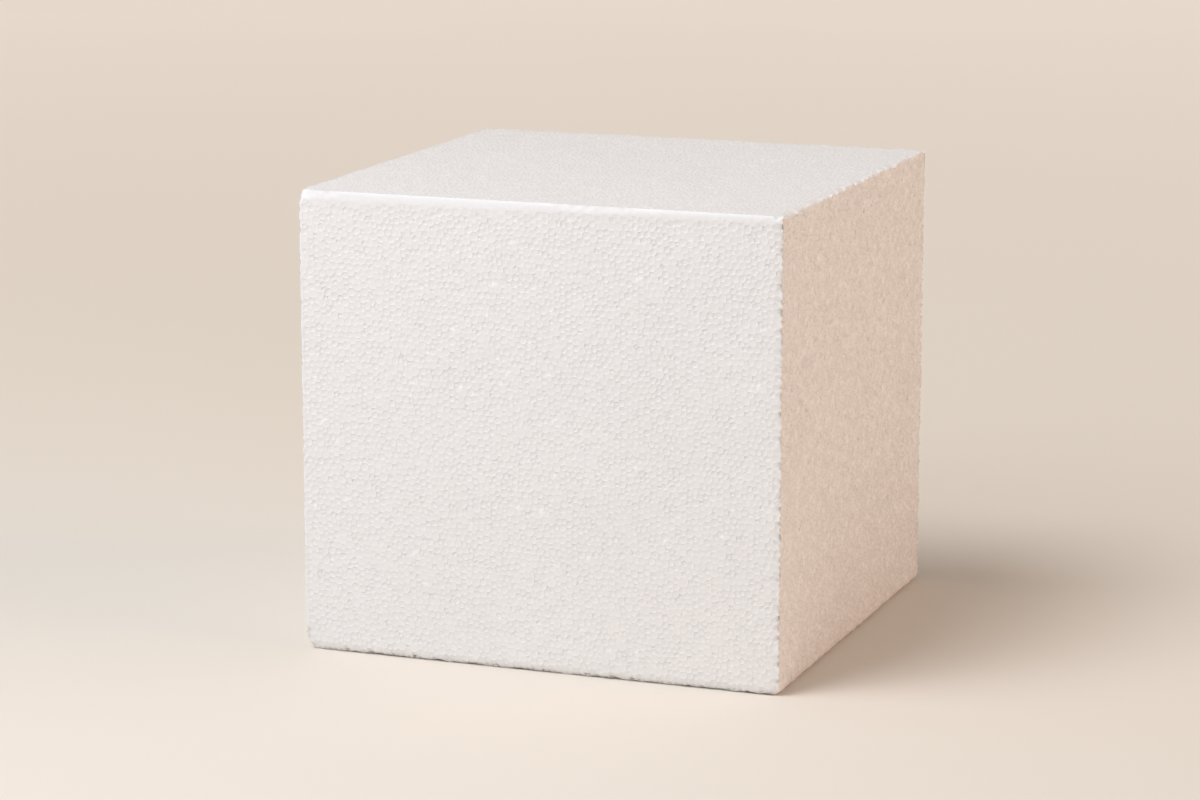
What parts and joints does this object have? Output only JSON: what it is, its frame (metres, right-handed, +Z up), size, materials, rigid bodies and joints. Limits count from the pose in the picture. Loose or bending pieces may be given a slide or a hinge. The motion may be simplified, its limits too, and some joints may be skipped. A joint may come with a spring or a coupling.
{
  "type": "foam block",
  "caption": "Rigid moulded foam block with flat faces, crisp edges, a rounder top front edge and a fine pebbled bead skin.",
  "frame": {"origin": "centre of the base, on the surface that the block stands on", "axes": "+X along the width, +Y from the front face to the back face, +Z up"},
  "size_m": [0.2, 0.195, 0.1865],
  "materials": {
    "foam": "white fused bead foam, matt with a slight satin on each bead"
  },
  "bodies": {
    "root": {"foam_block": "foam"}
  },
  "joints": []
}
